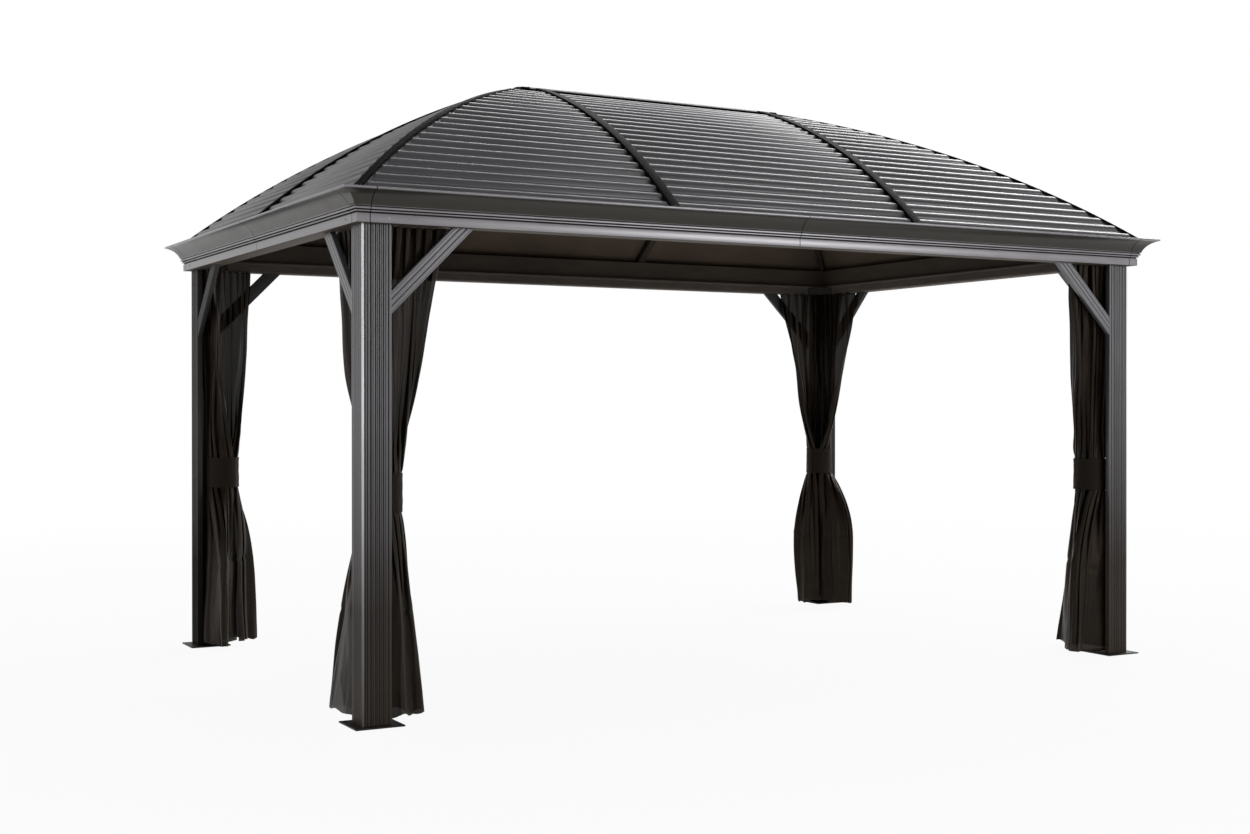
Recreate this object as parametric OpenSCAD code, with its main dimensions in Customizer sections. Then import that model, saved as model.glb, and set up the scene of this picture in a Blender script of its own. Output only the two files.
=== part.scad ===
// Metal gazebo: four L-shaped corner posts, a ring beam with crown moulding,
// an arched hip roof of ribbed steel panels, and gathered corner curtains.
// Millimetres. +X along the long side, +Y to the back, +Z up, floor at z = 0.

/* [Overall] */
// Long side, over the outer faces of the posts
span_x = 4150; // [3700:50:5000]
// Short side, over the outer faces of the posts
span_y = 2660; // [2200:20:2980]
// Floor to the underside of the ring beam
clear_height = 2000; // [1850:10:2250]

/* [Posts] */
// Width of each flange of a post
post_flange = 124; // [90:2:150]
// Thickness of each flange
post_thick = 28; // [22:1:34]
// Depth of the flutes
flute_depth = 2.5; // [1:0.5:4]
// Side of the square base plate
plate_side = 206; // [180:2:240]
// Thickness of the base plate
plate_thick = 6; // [4:1:12]
// Diameter of the anchor holes
anchor_hole = 13; // [9:1:16]

/* [Ring beam] */
// Width of the beam
beam_width = 50; // [40:1:60]
// Leg of a knee brace, on its centreline
brace_leg = 312; // [220:2:420]
// Face width of a knee brace
brace_width = 66; // [45:1:80]
// Thickness of a knee brace
brace_thick = 24; // [16:1:28]
// Height of the curtain rail
rail_height = 52; // [30:1:58]
// Thickness of the curtain rail
rail_thick = 16; // [12:1:20]
// How far the rail's bullnose stands in past its face
rail_nose = 8; // [4:1:12]

/* [Fascia] */
// How far the lip stands out from the posts
lip_out = 114; // [95:1:135]
// Height of the moulding
fascia_height = 132; // [120:1:145]
// How far the flat band stands out
band_out = 34; // [24:1:38]
// Length of a corner piece inside the post's outer face
corner_in = 22; // [10:1:60]

/* [Roof] */
// Rise from the eave edge to the ridge
roof_rise = 748; // [620:4:840]
// Slope at the eave, degrees
eave_slope = 41.5; // [36:0.5:43]
// Rows up the slope, the top two of them plain
row_count = 24; // [18:1:26]
// Height of a rib over the sheet
row_height = 14; // [6:0.5:16]
// Width of the joint caps
cap_width = 50; // [42:1:64]
// Width of the caps on the hips
hip_width = 32; // [26:1:46]
// Half width of the ridge cap
ridge_cap_half = 45; // [38:1:55]
// Depth of the rafters
rafter_depth = 44; // [34:1:60]
// Width of the rafters
rafter_width = 40; // [30:1:46]

/* [Curtains] */
// Reach of a drawn-back curtain along the long beams
curtain_reach_x = 370; // [280:5:420]
// Reach of a drawn-back curtain along the short beams
curtain_reach_y = 390; // [280:5:420]
// Reach of the curtain along the long side at the hem
hem_reach_x = 335; // [270:5:420]
// Reach of the curtain along the short side at the hem
hem_reach_y = 396; // [270:5:420]
// Height of the middle of the tie band
tie_height = 925; // [800:5:1100]
// Depth of the tie band
tie_depth = 158; // [100:2:200]
// Radius of the gathered cloth in the tie band
bundle_r = 80; // [70:1:90]

/* [Hidden] */
hx = span_x / 2;
hy = span_y / 2;
seam = 0.8;
soft_gap = 0.3;
skin_t = 4;
eave_out = 48;
eave_drop = 12;
run = hy + eave_out;
ridge_half = hx - hy;
z_eave = clear_height + fascia_height - eave_drop;
chord_a = atan(roof_rise / run);
ridge_slope = 2 * chord_a - eave_slope;
chord_l = sqrt(run * run + roof_rise * roof_rise);
arc_r = chord_l / 2 / sin((eave_slope - ridge_slope) / 2);
arc_uc = -arc_r * sin(ridge_slope);
arc_zc = z_eave + roof_rise - arc_r * cos(ridge_slope);
step_a = (eave_slope - ridge_slope) / row_count;
z_ridge = z_eave + roof_rise;
hub_a = 1.25 * cap_width;
rib_x = ridge_half - 80;
u1 = arc_uc + arc_r * sin(ridge_slope + step_a);
z1 = arc_zc + arc_r * cos(ridge_slope + step_a);
top_grade = (z_ridge - z1) / u1;
z_hub = z_ridge - hub_a * tan(ridge_slope + step_a) - skin_t;
z_beam_out = arc_zc + sqrt(arc_r * arc_r - (hy - arc_uc) * (hy - arc_uc)) - skin_t;
beam_top = z_beam_out - 1.6;
cap_up = 20;
hip_up = 14;
hip_rafter_w = min(rafter_width, hip_width - 2);
rib_at = [0.30, 0.62, 0.93, 0.99];
rib_inset = 6;
plate_out = (plate_side - post_flange) / 2;
// start and width of each flute, as shares of the flange
flutes = [[0.05, 0.06], [0.16, 0.045], [0.27, 0.06], [0.43, 0.05], [0.56, 0.045], [0.88, 0.045]];
anchor_in = 20;
// the cove is an arc from over the bead to under the lip
cove_e0 = band_out + 14;
cove_z0 = clear_height + 66;
cove_e1 = lip_out - 8;
cove_z1 = clear_height + fascia_height - 10;
cove_c = atan((cove_z1 - cove_z0) / (cove_e1 - cove_e0));
cove_t = 28;
cove_a = cove_c;
cove_r = sqrt(pow(cove_e1 - cove_e0, 2) + pow(cove_z1 - cove_z0, 2)) / 2 / sin(cove_t);
cove_e = cove_e0 + cove_r * sin(cove_a + cove_t);
cove_z = cove_z0 - cove_r * cos(cove_a + cove_t);
tie_t = 5;
rail_up = 3;
bundle_c = 52 + bundle_r;
tie_low = tie_height - tie_depth / 2;
tie_top = tie_height + tie_depth / 2;
rail_low = clear_height + rail_up;
curtain_top = clear_height - soft_gap;
hem_z = 28;
hem_near = 14;
curtain_near = post_thick + 6;
curtain_far = curtain_near + 62;

function arc_a(i) = eave_slope - i * step_a;
function arc_pt(i, up) = [arc_uc + arc_r * sin(arc_a(i)), arc_zc + arc_r * cos(arc_a(i)) + up];
// a point on the chord of row i, raised square to the sheet
function row_pt(i, f, up) = [
    (arc_pt(i, 0)[0] * (1 - f) + arc_pt(i + 1, 0)[0] * f) + up * sin(arc_a(i + 0.5)),
    (arc_pt(i, 0)[1] * (1 - f) + arc_pt(i + 1, 0)[1] * f) + up * cos(arc_a(i + 0.5))];

// strip that follows the roof, from one height over the sheet to another
function strip(up_a, up_b) = concat(
    [for (i = [0 : row_count]) arc_pt(i, up_b)],
    [for (i = [row_count : -1 : 0]) arc_pt(i, up_a)]);

// the same strip along a hip, where every plan length is longer by root two
function hip_strip(up_a, up_b) = [for (p = strip(up_a, up_b)) [p[0] * sqrt(2), p[1]]];

function row_comb() = concat(
    [for (i = [0 : row_count - 3]) for (k = [0 : 3])
        row_pt(i, rib_at[k], [-1.5, row_height, row_height, -1.5][k])],
    [for (i = [row_count - 3 : -1 : 0]) row_pt(i, 0.5, -3)],
    [row_pt(0, 0.35, -3)]);

// upright wall of a profile (out, z) laid along +X, out running to +Y
module wall(pts, length) {
    rotate([90, 0, 90])
        linear_extrude(length)
            polygon(pts);
}

module at_corner(sx, sy) {
    translate([sx < 0 ? -hx : hx, sy < 0 ? -hy : hy, 0])
        mirror([sx > 0 ? 1 : 0, 0, 0])
            mirror([0, sy > 0 ? 1 : 0, 0])
                children();
}

module all_corners() {
    for (sx = [-1, 1])
        for (sy = [-1, 1])
            at_corner(sx, sy)
                children();
}

// plan of one post, outer corner at the origin, flanges along +X and +Y
module post_plan() {
    difference() {
        square([post_flange, post_flange]);
        translate([post_thick, post_thick])
            square([post_flange, post_flange]);
        for (k = [0 : len(flutes) - 1]) {
            translate([flutes[k][0] * post_flange, -1])
                square([flutes[k][1] * post_flange, flute_depth + 1]);
            translate([-1, flutes[k][0] * post_flange])
                square([flute_depth + 1, flutes[k][1] * post_flange]);
        }
    }
}

module post() {
    color("#6e6e72")
        translate([0, 0, plate_thick])
            linear_extrude(clear_height - plate_thick)
                post_plan();
}

module base_plate() {
    color("#2a2a2b")
        difference() {
            translate([-plate_out, -plate_out, 0])
                cube([plate_side, plate_side, plate_thick]);
            for (x = [anchor_in - plate_out, plate_side - plate_out - anchor_in])
                for (y = [anchor_in - plate_out, plate_side - plate_out - anchor_in])
                    translate([x, y, -1])
                        cylinder(d = anchor_hole, h = plate_thick + 2, $fn = 48);
        }
}

module beam_long() {
    color("#55534f")
        translate([-hx, hy - beam_width, clear_height])
            cube([span_x, beam_width, beam_top - clear_height]);
}

module beam_short() {
    color("#55534f")
        translate([hx - beam_width, beam_width - hy, clear_height])
            cube([beam_width, span_y - 2 * beam_width, beam_top - clear_height]);
}

// crown moulding section: flat band, undercut, bead, groove, cove and lip
function cove(k, grow) = [
    cove_e + (cove_r + grow) * -sin(cove_a + cove_t - k * cove_t / 4.5),
    cove_z + (cove_r + grow) * cos(cove_a + cove_t - k * cove_t / 4.5)];

function fascia_pts() = concat(
    [[0, clear_height],
     [band_out, clear_height],
     [band_out, clear_height + 38],
     [band_out + 11, clear_height + 46],
     [band_out + 12, clear_height + 48],
     [band_out + 12, clear_height + 60],
     [band_out + 11, clear_height + 61.5],
     [band_out + 6, clear_height + 63]],
    [for (k = [0 : 9]) cove(k, 0)],
    [[lip_out, clear_height + fascia_height - 7],
     [lip_out, clear_height + fascia_height],
     [lip_out - 7, clear_height + fascia_height]],
    [for (k = [9 : -1 : 0]) cove(k, 4)],
    [[0, clear_height + 60]]);

// two lengths that meet over the middle of a side
module fascia_side(half_out, half_len) {
    length = half_len - corner_in - seam * 1.5;
    color("#87878b")
        for (s = [0, 1])
            mirror([s, 0, 0])
                translate([seam / 2, half_out, 0])
                    wall(fascia_pts(), length);
}

module fascia_corner() {
    reach = lip_out + corner_in;
    color("#7c7b7d")
        union() {
            for (s = [0, 1])
                mirror([s, -s, 0])
                    intersection() {
                        translate([-lip_out, 0, 0])
                            mirror([0, 1, 0])
                                wall(fascia_pts(), reach);
                        translate([0, 0, clear_height - 5])
                            linear_extrude(fascia_height + 10)
                                polygon([[-lip_out - 2, -lip_out - 2], [corner_in + 2, -lip_out - 2],
                                         [corner_in + 2, 2], [2, 2]]);
                    }
        }
}

// knee brace in the plane of a post's outer face, post edge at x = post_flange
module brace() {
    a = brace_leg - brace_width / sqrt(2);
    b = brace_leg + brace_width / sqrt(2);
    color("#77777b")
        translate([post_flange, 2, clear_height])
            rotate([90, 0, 0])
                difference() {
                    translate([0, 0, -brace_thick])
                        linear_extrude(brace_thick)
                            polygon([[0, -b], [0, -a], [a, 0], [b, 0]]);
                    for (off = [-brace_width * 0.14, brace_width * 0.14])
                        translate([brace_leg / 2, -brace_leg / 2, -2])
                            rotate([0, 0, 45])
                                translate([-brace_leg, off - 1.5, 0])
                                    cube([2 * brace_leg, 3, 4]);
                }
}

module brace_pair() {
    brace();
    mirror([1, -1, 0])
        brace();
}

// rail with a bullnose along its top edge
module curtain_rail(half_len, half_out) {
    f = half_out - beam_width;
    g = f - rail_thick;
    h = rail_low + rail_height;
    color("#3b3a3a")
        translate([-half_len, 0, 0])
            wall([[f, rail_low], [f, h], [g - rail_nose + 2, h], [g - rail_nose, h - 2],
                  [g - rail_nose, h - 9], [g, h - 13], [g, rail_low]], 2 * half_len);
}

// plate across the corner between two rails
module corner_bracket() {
    a = beam_width + rail_thick;
    w = 112;
    color("#3b3a3a")
        translate([0, 0, rail_low - 2])
            linear_extrude(rail_height - 14)
                polygon([[a, a + w], [a, a + w - 8], [a + w - 8, a], [a + w, a]]);
}

module octagon(a) {
    rotate(22.5)
        circle(r = a / cos(22.5), $fn = 8);
}

// plan of the ridge cap and its two end plates
module ridge_zone() {
    square([2 * ridge_half, 2 * ridge_cap_half], center = true);
    for (s = [-1, 1])
        translate([s * ridge_half, 0])
            octagon(hub_a);
}

module ridge_cutter() {
    translate([0, 0, z_ridge - 600])
        linear_extrude(800)
            ridge_zone();
}

// bar along the hip of the +X +Y corner
module hip_bar(up_a, up_b, width) {
    translate([ridge_half, 0, 0])
        rotate([0, 0, -45])
            translate([-width / 2, 0, 0])
                wall(hip_strip(up_a, up_b), width);
}

module hip_rafter() {
    color("#2b2a2a")
        difference() {
            intersection() {
                hip_bar(-skin_t - rafter_depth, -skin_t, hip_rafter_w);
                translate([0, 0, clear_height - 200])
                    linear_extrude(roof_rise + 600)
                        square([hx - beam_width, hy - beam_width]);
            }
            ridge_cutter();
        }
}

module hip_cap() {
    color("#1f1e1e")
        difference() {
            intersection() {
                hip_bar(-skin_t, hip_up, hip_width);
                translate([0, 0, clear_height - 200])
                    linear_extrude(roof_rise + 600)
                        square([ridge_half + run, run]);
            }
            ridge_cutter();
        }
}

// bar up the back slope, centred on x = 0
module slope_bar(up_a, up_b, width, stop) {
    intersection() {
        translate([-width / 2, 0, 0])
            wall(strip(up_a, up_b), width);
        translate([-width, -1, clear_height - 200])
            cube([2 * width, stop + 1, roof_rise + 600]);
    }
}

module slope_set(up_a, up_b, width, stop) {
    difference() {
        union() {
            for (x = [-rib_x, rib_x])
                for (m = [0, 1])
                    mirror([0, m, 0])
                        translate([x, 0, 0])
                            slope_bar(up_a, up_b, width, stop);
            for (m = [0, 1])
                mirror([m, 0, 0])
                    translate([ridge_half, 0, 0])
                        rotate([0, 0, -90])
                            slope_bar(up_a, up_b, width, stop);
        }
        ridge_cutter();
    }
}

module ridge_beam_shape() {
    w = rafter_width / 2;
    color("#2b2a2a")
        union() {
            translate([-ridge_half, 0, 0])
                wall([[-w, z_hub - 50], [w, z_hub - 50], [w, z_hub], [-w, z_hub]], 2 * ridge_half);
            for (s = [-1, 1])
                translate([s * ridge_half, 0, z_hub - 50])
                    linear_extrude(50)
                        octagon(hub_a);
        }
}

module ridge_cap_shape() {
    c = ridge_cap_half;
    zs = z_ridge - c * top_grade;
    color("#8f8f94")
        union() {
            translate([-ridge_half, 0, 0])
                wall([[-c, z_hub], [c, z_hub], [c, zs + 10], [c - 14, z_ridge + 16],
                      [14 - c, z_ridge + 16], [-c, zs + 10]], 2 * ridge_half);
            for (s = [-1, 1])
                translate([s * ridge_half, 0, z_hub])
                    linear_extrude(z_ridge + 11 - z_hub)
                        octagon(hub_a);
        }
}

// sheet and ribs of the back slope inside a plan outline
module panel(x_a, x_b) {
    color("#4c4c50")
        difference() {
            union() {
                intersection() {
                    translate([x_a - 2, 0, 0])
                        wall(strip(-skin_t, 0), x_b - x_a + 4);
                    translate([0, 0, clear_height - 200])
                        linear_extrude(roof_rise + 600)
                            children(0);
                }
                intersection() {
                    translate([x_a - 2, 0, 0])
                        wall(row_comb(), x_b - x_a + 4);
                    translate([0, 0, clear_height - 200])
                        linear_extrude(roof_rise + 600)
                            children(1);
                }
            }
            ridge_cutter();
        }
}

// along-slope distance from the ridge line, in plan, of the top edge of row i's rib
function rib_top(i) = row_pt(i, rib_at[3], 0)[0];

module long_center_plan() {
    w = rib_x - cap_width / 2;
    polygon([[-w, ridge_cap_half], [w, ridge_cap_half], [w, run], [-w, run]]);
}

module long_center_ribs() {
    w = rib_x - cap_width / 2 - rib_inset;
    polygon([[-w, ridge_cap_half], [w, ridge_cap_half], [w, run + 1], [-w, run + 1]]);
}

// right-hand end of the back slope, up to the hip
module long_end_plan() {
    a = rib_x + cap_width / 2;
    d = hip_width / 2 * sqrt(2);
    y0 = ridge_cap_half;
    polygon([[a, y0], [ridge_half + y0 - d, y0], [ridge_half + run - d, run], [a, run]]);
}

// each rib ends square, where its top edge comes to the hip cap
module long_end_ribs() {
    a = rib_x + cap_width / 2 + rib_inset;
    d = (hip_width / 2 + rib_inset) * sqrt(2);
    polygon(concat(
        [for (i = [row_count - 3 : -1 : 0]) for (e = [1, 0])
            [ridge_half + rib_top(i) - d, arc_pt(i + e, 0)[0] + (i + e == 0 ? 1 : 0)]],
        [[a, run + 1], [a, arc_pt(row_count - 2, 0)[0]]]));
}

// half of an end slope, laid out on the back slope
module short_half_plan() {
    a = cap_width / 2;
    d = hip_width / 2 * sqrt(2);
    polygon([[a, a + d], [run - d, run], [a, run]]);
}

module short_half_ribs() {
    a = cap_width / 2 + rib_inset;
    d = (hip_width / 2 + rib_inset) * sqrt(2);
    polygon(concat(
        [for (i = [row_count - 3 : -1 : 0]) for (e = [1, 0])
            [max(rib_top(i) - d, a + 0.2), arc_pt(i + e, 0)[0] + (i + e == 0 ? 1 : 0)]],
        [[a, run + 1], [a, arc_pt(row_count - 2, 0)[0]]]));
}

module panel_long_center() {
    panel(-rib_x, rib_x) {
        long_center_plan();
        long_center_ribs();
    }
}

module panel_long_end() {
    panel(rib_x, ridge_half + run) {
        long_end_plan();
        long_end_ribs();
    }
}

// end slope: +X side, +Y half
module panel_short_half() {
    difference() {
        translate([ridge_half, 0, 0])
            mirror([1, -1, 0])
                panel_free() {
                    short_half_plan();
                    short_half_ribs();
                }
        ridge_cutter();
    }
}

module panel_free() {
    color("#4c4c50")
        union() {
            intersection() {
                translate([-2, 0, 0])
                    wall(strip(-skin_t, 0), run + 4);
                translate([0, 0, clear_height - 200])
                    linear_extrude(roof_rise + 600)
                        children(0);
            }
            intersection() {
                translate([-2, 0, 0])
                    wall(row_comb(), run + 4);
                translate([0, 0, clear_height - 200])
                    linear_extrude(roof_rise + 600)
                        children(1);
            }
        }
}

// drawn-back curtain behind a post, outer corner of the post at the origin
module curtain() {
    color("#1c1917")
        union() {
            curtain_half(curtain_reach_x, hem_reach_x);
            mirror([1, -1, 0])
                curtain_half(curtain_reach_y, hem_reach_y);
            translate([bundle_c, bundle_c, tie_low - 40])
                cylinder(r = bundle_r, h = tie_depth + 90, $fn = 12);
        }
}

// the cloth that goes off along +X, above and below the tie band
module curtain_half(reach, hem) {
    hull() {
        translate([curtain_near + 4, curtain_near, curtain_top - 60])
            cube([reach - curtain_near - 4, curtain_far - curtain_near, 60]);
        translate([bundle_c, bundle_c, tie_top + 30])
            cylinder(r = bundle_r - 1, h = 20, $fn = 12);
    }
    hull() {
        translate([bundle_c, bundle_c, tie_low - 60])
            cylinder(r = bundle_r - 1, h = 30, $fn = 12);
        translate([66, curtain_near + 6, hem_z])
            cube([60, 114, 30]);
        translate([hem - 60, hem_near, hem_z])
            cube([60, 150 - hem_near, 30]);
    }
}

module tie_band() {
    color("#242120")
        translate([bundle_c, bundle_c, tie_low])
            difference() {
                cylinder(r = bundle_r + soft_gap + tie_t, h = tie_depth, $fn = 12);
                translate([0, 0, -1])
                    cylinder(r = bundle_r + soft_gap, h = tie_depth + 2, $fn = 12);
            }
}

module post_front_left() {
    at_corner(-1, -1)
        post();
}

module post_front_right() {
    at_corner(1, -1)
        post();
}

module post_back_left() {
    at_corner(-1, 1)
        post();
}

module post_back_right() {
    at_corner(1, 1)
        post();
}

module base_plates() {
    all_corners()
        base_plate();
}

module beam_front() {
    mirror([0, 1, 0])
        beam_long();
}

module beam_back() {
    beam_long();
}

module beam_left() {
    mirror([1, 0, 0])
        beam_short();
}

module beam_right() {
    beam_short();
}

module fascia_front() {
    mirror([0, 1, 0])
        fascia_side(hy, hx);
}

module fascia_back() {
    fascia_side(hy, hx);
}

module fascia_left() {
    rotate([0, 0, 90])
        fascia_side(hx, hy);
}

module fascia_right() {
    rotate([0, 0, -90])
        fascia_side(hx, hy);
}

module fascia_corners() {
    all_corners()
        fascia_corner();
}

module braces_front_left() {
    at_corner(-1, -1)
        brace_pair();
}

module braces_front_right() {
    at_corner(1, -1)
        brace_pair();
}

module braces_back_left() {
    at_corner(-1, 1)
        brace_pair();
}

module braces_back_right() {
    at_corner(1, 1)
        brace_pair();
}

module curtain_rails() {
    for (s = [0, 1])
        mirror([0, s, 0])
            curtain_rail(hx - beam_width, hy);
    for (s = [-1, 1])
        rotate([0, 0, 90 * s])
            curtain_rail(hy - beam_width - rail_thick - rail_nose - seam, hx);
}

module corner_brackets() {
    all_corners()
        corner_bracket();
}

module hip_rafters() {
    for (sx = [0, 1])
        for (sy = [0, 1])
            mirror([sx, 0, 0])
                mirror([0, sy, 0])
                    hip_rafter();
}

module slope_rafters() {
    color("#2b2a2a")
        slope_set(-skin_t - rafter_depth, -skin_t, rafter_width, hy - beam_width);
}

module ridge_beam() {
    ridge_beam_shape();
}

module roof_front_center() {
    mirror([0, 1, 0])
        panel_long_center();
}

module roof_front_left() {
    mirror([1, 0, 0])
        mirror([0, 1, 0])
            panel_long_end();
}

module roof_front_right() {
    mirror([0, 1, 0])
        panel_long_end();
}

module roof_back_center() {
    panel_long_center();
}

module roof_back_left() {
    mirror([1, 0, 0])
        panel_long_end();
}

module roof_back_right() {
    panel_long_end();
}

module roof_left_front() {
    mirror([1, 0, 0])
        mirror([0, 1, 0])
            panel_short_half();
}

module roof_left_back() {
    mirror([1, 0, 0])
        panel_short_half();
}

module roof_right_front() {
    mirror([0, 1, 0])
        panel_short_half();
}

module roof_right_back() {
    panel_short_half();
}

module hip_caps() {
    for (sx = [0, 1])
        for (sy = [0, 1])
            mirror([sx, 0, 0])
                mirror([0, sy, 0])
                    hip_cap();
}

module joint_caps() {
    color("#1f1e1e")
        slope_set(-skin_t, cap_up, cap_width, run + 1);
}

module ridge_cap() {
    ridge_cap_shape();
}

module curtain_front_left() {
    at_corner(-1, -1)
        curtain();
}

module curtain_front_right() {
    at_corner(1, -1)
        curtain();
}

module curtain_back_left() {
    at_corner(-1, 1)
        curtain();
}

module curtain_back_right() {
    at_corner(1, 1)
        curtain();
}

module tie_bands() {
    all_corners()
        tie_band();
}

post_front_left();
post_front_right();
post_back_left();
post_back_right();
base_plates();
beam_front();
beam_back();
beam_left();
beam_right();
fascia_front();
fascia_back();
fascia_left();
fascia_right();
fascia_corners();
braces_front_left();
braces_front_right();
braces_back_left();
braces_back_right();
curtain_rails();
corner_brackets();
hip_rafters();
slope_rafters();
ridge_beam();
roof_front_center();
roof_front_left();
roof_front_right();
roof_back_center();
roof_back_left();
roof_back_right();
roof_left_front();
roof_left_back();
roof_right_front();
roof_right_back();
hip_caps();
joint_caps();
ridge_cap();
curtain_front_left();
curtain_front_right();
curtain_back_left();
curtain_back_right();
tie_bands();
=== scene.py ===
# Metal gazebo: an arched hip roof of ribbed steel on four fluted posts, with tied-back curtains
import math

import bmesh
import bpy
import numpy as np
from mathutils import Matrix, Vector, noise


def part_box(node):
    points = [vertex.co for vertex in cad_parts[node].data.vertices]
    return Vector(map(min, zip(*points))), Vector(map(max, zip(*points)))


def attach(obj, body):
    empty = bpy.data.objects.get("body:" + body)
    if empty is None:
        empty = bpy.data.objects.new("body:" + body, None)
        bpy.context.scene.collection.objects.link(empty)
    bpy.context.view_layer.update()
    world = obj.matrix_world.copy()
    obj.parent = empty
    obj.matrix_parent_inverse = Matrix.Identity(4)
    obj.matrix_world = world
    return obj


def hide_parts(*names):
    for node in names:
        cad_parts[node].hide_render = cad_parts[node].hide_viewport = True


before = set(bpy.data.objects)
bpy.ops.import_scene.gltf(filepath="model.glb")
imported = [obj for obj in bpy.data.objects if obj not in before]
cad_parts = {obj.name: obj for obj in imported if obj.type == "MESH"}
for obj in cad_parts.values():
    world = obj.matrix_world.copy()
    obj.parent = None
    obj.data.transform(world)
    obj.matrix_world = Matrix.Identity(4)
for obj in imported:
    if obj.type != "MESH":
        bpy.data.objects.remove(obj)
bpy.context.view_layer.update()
scene = bpy.context.scene

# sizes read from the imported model
postLow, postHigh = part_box("post_front_right")
halfX = postHigh.x
halfY = -postLow.y
plateTop = postLow.z
clearHeight = postHigh.z
flange = postHigh.x - postLow.x

# the camera stands off the front-left corner at eye height
view = {"lens": 47.54, "yaw": 0.5044, "pitch": -0.0063, "spot": (-4.3177, -7.5419, 1.2736)}
camera = bpy.data.cameras.new("camera")
cameraObject = bpy.data.objects.new("camera", camera)
scene.collection.objects.link(cameraObject)
scene.camera = cameraObject
camera.sensor_width = 36
camera.lens = view["lens"]
ahead = Vector((
    math.sin(view["yaw"]) * math.cos(view["pitch"]),
    math.cos(view["yaw"]) * math.cos(view["pitch"]),
    math.sin(view["pitch"])))
cameraObject.rotation_mode = "QUATERNION"
cameraObject.rotation_quaternion = ahead.to_track_quat("-Z", "Y")
cameraObject.location = view["spot"]
print("camera set")


def linear(hexColour):
    parts = [int(hexColour[k:k + 2], 16) / 255 for k in (1, 3, 5)]
    curve = [c / 12.92 if c <= 0.04045 else ((c + 0.055) / 1.055) ** 2.4 for c in parts]
    return (*curve, 1.0)


def addNode(tree, kind, settings=None, links=None):
    node = tree.nodes.new(kind)
    for key, value in (settings or {}).items():
        if isinstance(key, str) and hasattr(node, key):
            setattr(node, key, value)
        else:
            node.inputs[key].default_value = value
    for key, source in (links or {}).items():
        tree.links.new(source, node.inputs[key])
    return node


def newMaterial(name):
    material = bpy.data.materials.new(name)
    material.use_nodes = True
    tree = material.node_tree
    return material, tree, tree.nodes["Principled BSDF"]


def coatedMetal(name, look):
    # Powder coat on aluminium or steel: an even satin skin with a faint orange peel.
    # look["stretch"] squeezes the streaks across the length of the extrusion.
    material, tree, shader = newMaterial(name)
    place = addNode(tree, "ShaderNodeTexCoord")
    stretched = addNode(tree, "ShaderNodeMapping", {"Scale": look["stretch"]},
                        {"Vector": place.outputs["Object"]})
    streaks = addNode(tree, "ShaderNodeTexNoise", {"Scale": look["streakScale"], "Detail": 4.0},
                      {"Vector": stretched.outputs["Vector"]})
    cloud = addNode(tree, "ShaderNodeTexNoise", {"Scale": 1.7, "Detail": 3.0},
                    {"Vector": place.outputs["Object"]})
    both = addNode(tree, "ShaderNodeMath", {"operation": "MULTIPLY_ADD", 1: 0.6},
                   {0: streaks.outputs["Fac"], 2: cloud.outputs["Fac"]})
    spread = addNode(tree, "ShaderNodeMapRange", {"From Min": 0.55, "From Max": 1.05},
                     {"Value": both.outputs["Value"]})
    tone = addNode(tree, "ShaderNodeMix",
                   {"data_type": "RGBA", 6: linear(look["dark"]), 7: linear(look["light"])},
                   {"Factor": spread.outputs["Result"]})
    colour = tone.outputs[2]
    if "lowShade" in look:
        # painted shade and painted ground reflection: the coat turns darker, warmer and less glossy towards
        # the foot
        height = addNode(tree, "ShaderNodeSeparateXYZ", {}, {0: place.outputs["Object"]})
        low = addNode(tree, "ShaderNodeMapRange",
                      {"From Min": look["lowShadeTop"], "From Max": 0.02, "To Max": 0.8},
                      {"Value": height.outputs["Z"]})
        lowShaded = addNode(tree, "ShaderNodeMix", {"data_type": "RGBA", 7: linear(look["lowShade"])},
                          {"Factor": low.outputs["Result"], 6: colour})
        colour = lowShaded.outputs[2]
        # the same painted shade lowers the metallic and specular levels towards the foot
        for socket, upperLevel in (("Metallic", look["metallic"]), ("Specular IOR Level", look["shine"])):
            lowGloss = addNode(tree, "ShaderNodeMapRange",
                             {"From Min": 0.0, "From Max": 0.5, "To Min": upperLevel, "To Max": upperLevel * 0.06},
                             {"Value": low.outputs["Result"]})
            tree.links.new(lowGloss.outputs["Result"], shader.inputs[socket])
    tree.links.new(colour, shader.inputs["Base Color"])
    # powder grain is about 0.3 mm, drawn at 3 mm so that it still shows
    peel = addNode(tree, "ShaderNodeTexNoise", {"Scale": 330.0, "Detail": 2.0},
                   {"Vector": place.outputs["Object"]})
    relief = addNode(tree, "ShaderNodeBump", {"Strength": look["peel"], "Distance": 0.0004},
                     {"Height": peel.outputs["Fac"]})
    tree.links.new(relief.outputs["Normal"], shader.inputs["Normal"])
    gloss = addNode(tree, "ShaderNodeMapRange",
                    {"To Min": look["rough"] - 0.04, "To Max": look["rough"] + 0.05},
                    {"Value": spread.outputs["Result"]})
    tree.links.new(gloss.outputs["Result"], shader.inputs["Roughness"])
    shader.inputs["Metallic"].default_value = look["metallic"]
    shader.inputs["Specular IOR Level"].default_value = look["shine"]
    return material


# charcoal powder coat on aluminium extrusion: satin, cool grey where the light catches the flutes
postCoat = coatedMetal("powder_coated_aluminium_post", {
    "dark": "#4d4c4e", "light": "#605f63", "stretch": (1, 1, 0.04), "streakScale": 60.0, "lowShade": "#4a4033",
    "lowShadeTop": 1.2, "peel": 0.25, "rough": 0.3, "metallic": 0.25, "shine": 0.8})
# painted shade: darker and duller than the front posts' coat, to stand for the roof's shade on the rear posts
# and braces
shadedCoat = coatedMetal("shaded_powder_coated_post", {
    "dark": "#2b2928", "light": "#383534", "stretch": (1, 1, 0.04), "streakScale": 60.0, "lowShade": "#1d1916",
    "lowShadeTop": 1.2, "peel": 0.25, "rough": 0.5, "metallic": 0.0, "shine": 0.25})
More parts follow.
